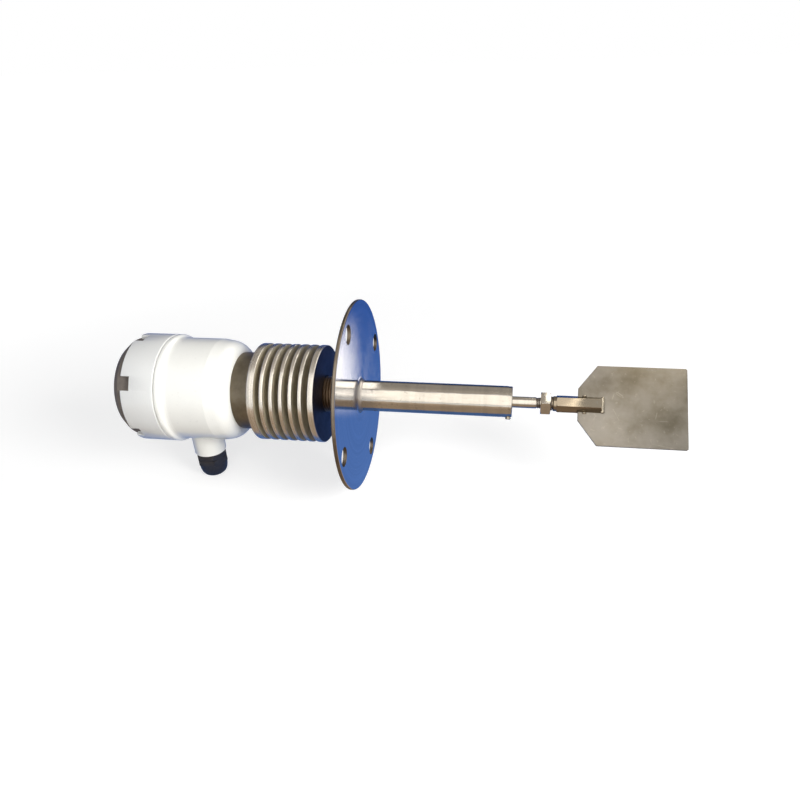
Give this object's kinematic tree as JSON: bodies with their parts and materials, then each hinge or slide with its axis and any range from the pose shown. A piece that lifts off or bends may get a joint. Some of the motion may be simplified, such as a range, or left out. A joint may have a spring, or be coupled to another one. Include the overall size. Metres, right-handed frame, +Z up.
{
  "type": "rotary paddle level switch",
  "caption": "Rotary paddle level switch for bulk solids: a geared motor in a round screw-lidded housing turns a paddle blade through a finned neck, round flange and long guide tube",
  "frame": {"origin": "centre of the flange's paddle-side face, on the shaft's axis", "axes": "+X along the shaft towards the paddle, +Z up in the pictured attitude with the cable gland pointing down, +Y away from the camera"},
  "size_m": [0.4531, 0.155, 0.1623],
  "materials": {
    "white_coat": "satin white powder coat with a fine texture",
    "bare_cover": "matt grey-brown casting",
    "machined_aluminium": "turned, with fine rings",
    "nipple_steel": "threaded, dull",
    "polished_stainless": "polished",
    "tube_stainless": "ground and polished",
    "paddle_stainless": "matt, brushed",
    "bright_steel": "bright",
    "dark_steel": "oil-blackened",
    "zinc_sheet": "zinc plated",
    "motor_steel": "drawn and plated",
    "gearbox_zinc": "die cast",
    "bronze": "sintered bronze",
    "brass": "turned brass",
    "black_nylon": "moulded black nylon",
    "switch_plastic": "moulded thermoset",
    "terminal_plastic": "moulded off-white",
    "seal_rubber": "black nitrile"
  },
  "bodies": {
    "body": {"housing": "white_coat", "heat_sink": "machined_aluminium", "neck_lock_ring": "dark_steel", "neck_nipple": "nipple_steel", "flange_plate": "polished_stainless", "flange_weld": "polished_stainless", "guide_tube": "tube_stainless", "end_bush": "bronze", "bush_screw": "bright_steel", "shaft_seal": "seal_rubber", "bearing_outer_rings": "bright_steel", "bearing_balls": "bright_steel", "gland_body": "black_nylon", "gland_seal": "seal_rubber", "gland_nut": "black_nylon", "chassis_pillars": "bright_steel", "chassis_plate": "zinc_sheet", "chassis_screws": "bright_steel", "pivot_bush": "bronze", "stop_pin": "bright_steel", "spring_post": "bright_steel", "return_spring": "bright_steel", "switch_bracket": "zinc_sheet", "upper_switch": "switch_plastic", "lower_switch": "switch_plastic", "switch_screws": "bright_steel", "terminal_bracket": "zinc_sheet", "terminal_block": "terminal_plastic", "terminal_screws": "brass", "earth_screw": "brass"},
    "cover": {"cover_ring": "white_coat", "cover_cap": "bare_cover", "cover_gasket": "seal_rubber"},
    "paddle": {"drive_shaft": "tube_stainless", "output_shaft": "bright_steel", "coupling": "brass", "coupling_screws": "dark_steel", "bearing_inner_rings": "bright_steel", "shaft_clips": "dark_steel", "lock_nut": "tube_stainless", "spring_washer": "dark_steel", "paddle_sleeve": "tube_stainless", "paddle_blade": "paddle_stainless", "paddle_welds": "bright_steel"},
    "carrier": {"swing_plate": "zinc_sheet", "gearbox": "gearbox_zinc", "motor": "motor_steel", "gearbox_screws": "bright_steel", "pivot_clip": "dark_steel"},
    "upper_trip": {"upper_lever": "bright_steel"},
    "lower_trip": {"lower_lever": "bright_steel"}
  },
  "joints": [
    {"name": "paddle_spin", "type": "hinge", "parent": "body", "child": "paddle", "pos_m": [0, 0, 0], "axis": [1, 0, 0], "continuous": true},
    {"name": "motor_swing", "type": "hinge", "parent": "body", "child": "carrier", "pos_m": [-0.13, 0, 0], "axis": [1, 0, 0], "range_deg": [0, 6], "stiffness_Nm_per_rad": 0.3, "springref_deg": -11.46, "deforming": ["return_spring"]},
    {"name": "upper_lever_turn", "type": "hinge", "parent": "body", "child": "upper_trip", "pos_m": [-0.143, -0.018, 0.0029], "axis": [1, 0, 0], "range_deg": [0, 14]},
    {"name": "lower_lever_turn", "type": "hinge", "parent": "body", "child": "lower_trip", "pos_m": [-0.143, -0.018, -0.00614], "axis": [1, 0, 0], "range_deg": [0, 14]},
    {"name": "cover_off", "type": "slide", "parent": "body", "child": "cover", "axis": [-1, 0, 0], "range_m": [0, 0.05]}
  ],
  "couplings": [
    {"joint": "upper_lever_turn", "follows": "motor_swing", "ratio": 2.3333},
    {"joint": "lower_lever_turn", "follows": "motor_swing", "ratio": 2.3333}
  ]
}
